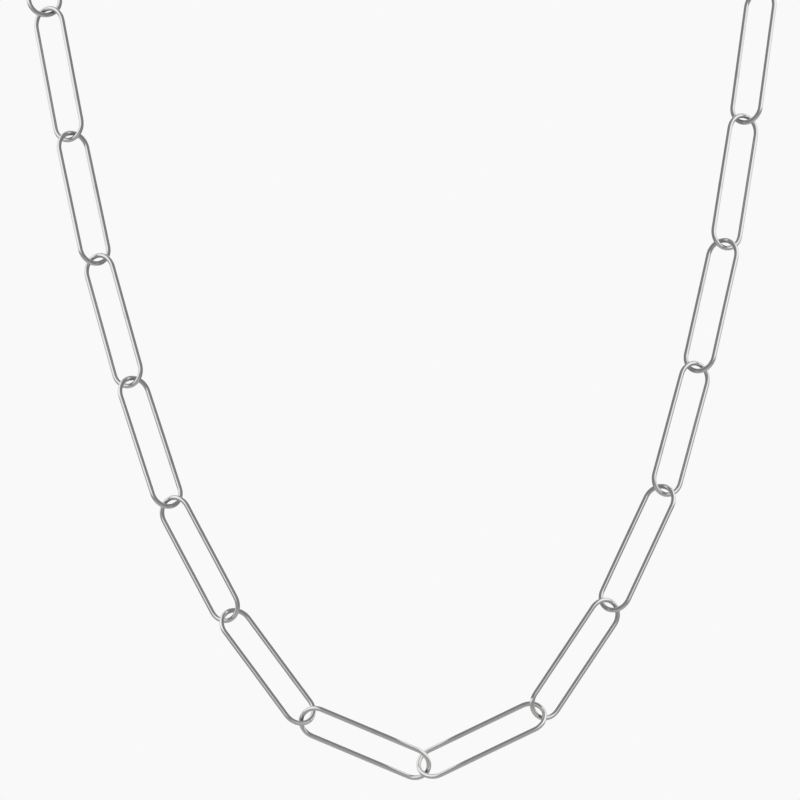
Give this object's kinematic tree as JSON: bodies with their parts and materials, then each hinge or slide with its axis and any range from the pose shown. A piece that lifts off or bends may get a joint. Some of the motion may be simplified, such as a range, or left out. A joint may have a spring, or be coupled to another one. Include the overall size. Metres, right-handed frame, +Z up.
{
  "type": "paperclip chain necklace",
  "caption": "Necklace of long round-ended wire links in one closed loop, hung as if worn, with a small spring-ring clasp at the nape.",
  "frame": {"origin": "at the nape, on the face of the clasp that lies on the neck", "axes": "+Z up, -Y to the wearer's front, +X the right side of a front view"},
  "size_m": [0.1113, 0.1023, 0.1616],
  "materials": {
    "links": "polished silver",
    "clasp": "polished silver"
  },
  "bodies": {
    "root": {"right_link_01": "links", "right_link_02": "links", "right_link_03": "links", "right_link_04": "links", "right_link_05": "links", "right_link_06": "links", "right_link_07": "links", "right_link_08": "links", "right_link_09": "links", "right_link_10": "links", "right_link_11": "links", "right_link_12": "links", "right_link_13": "links", "right_link_14": "links", "right_link_15": "links", "right_link_16": "links", "left_link_01": "links", "left_link_02": "links", "left_link_03": "links", "left_link_04": "links", "left_link_05": "links", "left_link_06": "links", "left_link_07": "links", "left_link_08": "links", "left_link_09": "links", "left_link_10": "links", "left_link_11": "links", "left_link_12": "links", "left_link_13": "links", "left_link_14": "links", "left_link_15": "links", "left_link_16": "links", "clasp": "clasp"}
  },
  "joints": []
}
